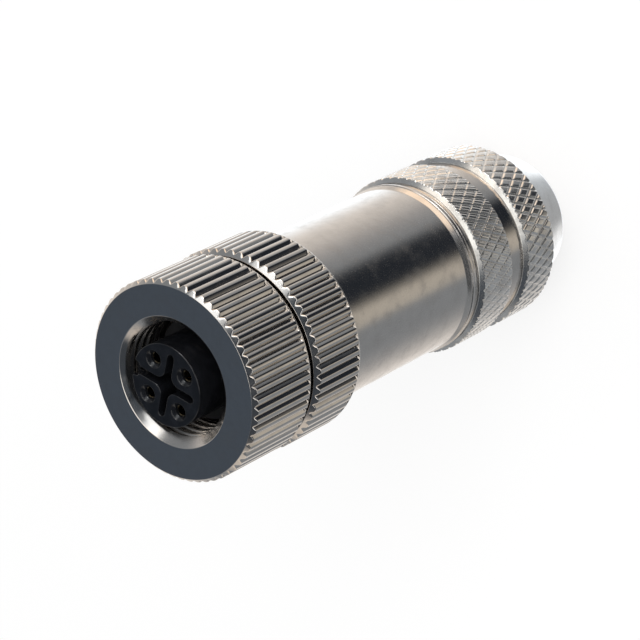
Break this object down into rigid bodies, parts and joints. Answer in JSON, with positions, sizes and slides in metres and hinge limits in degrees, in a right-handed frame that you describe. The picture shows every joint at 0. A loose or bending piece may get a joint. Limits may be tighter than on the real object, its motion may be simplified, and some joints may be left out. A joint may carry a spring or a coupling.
{
  "type": "plug connector",
  "caption": "Straight female round plug connector with a knurled coupling nut, a smooth metal sleeve and a knurled cable gland.",
  "frame": {"origin": "centre of the gland nut's flat rear face, which the connector stands on", "axes": "+Z along the connector's axis to the mating face, +X towards the keyway of the contact insert"},
  "size_m": [0.02, 0.02, 0.0551],
  "materials": {
    "knurled_nickel": "nickel-plated brass, cut knurl",
    "satin_nickel": "nickel-plated brass, fine satin",
    "black_insulator": "moulded, fine matt",
    "black_rubber": "matt",
    "gold_contact": "thin gold plating",
    "bare_brass": "turned",
    "spring_steel": "plain",
    "screw_steel": "zinc-plated",
    "cage_plastic": "moulded"
  },
  "bodies": {
    "housing": {"housing_sleeve": "satin_nickel", "shield_ring": "bare_brass", "shield_spring": "spring_steel", "cable_seal": "black_rubber", "clamp_cage": "cage_plastic"},
    "seal_travel": {"body_seal": "black_rubber"},
    "head": {"carrier_head": "knurled_nickel", "contact_insert": "black_insulator", "face_seal": "black_rubber", "terminal_block": "black_insulator", "terminal_screws": "screw_steel", "contact_1": "gold_contact", "contact_2": "gold_contact", "contact_3": "gold_contact", "contact_4": "gold_contact", "wire_guard_1": "spring_steel", "wire_guard_2": "spring_steel", "wire_guard_3": "spring_steel", "wire_guard_4": "spring_steel"},
    "clip": {"retaining_clip": "spring_steel"},
    "nut": {"coupling_nut": "knurled_nickel"},
    "washer": {"thrust_washer": "cage_plastic"},
    "gland": {"gland_nut": "knurled_nickel"}
  },
  "joints": [
    {"name": "head_advance", "type": "slide", "parent": "housing", "child": "seal_travel", "axis": [0, 0, 1], "range_m": [0, 0.00355]},
    {"name": "head_turn", "type": "hinge", "parent": "seal_travel", "child": "head", "pos_m": [0, 0, 0.042], "axis": [0, 0, 1], "range_deg": [0, 1260]},
    {"name": "nut_float", "type": "slide", "parent": "head", "child": "clip", "axis": [0, 0, 1], "range_m": [0, 0.0006]},
    {"name": "nut_spin", "type": "hinge", "parent": "clip", "child": "nut", "pos_m": [0, 0, 0.05], "axis": [0, 0, 1], "continuous": true},
    {"name": "gland_advance", "type": "slide", "parent": "housing", "child": "washer", "axis": [0, 0, -1], "range_m": [0, 0.00555]},
    {"name": "gland_turn", "type": "hinge", "parent": "washer", "child": "gland", "pos_m": [0, 0, 0.01], "axis": [0, 0, -1], "range_deg": [0, 1980]}
  ],
  "couplings": [
    {"joint": "head_advance", "follows": "head_turn", "m_per_rad": 0.00015915},
    {"joint": "gland_advance", "follows": "gland_turn", "m_per_rad": 0.00015915}
  ]
}
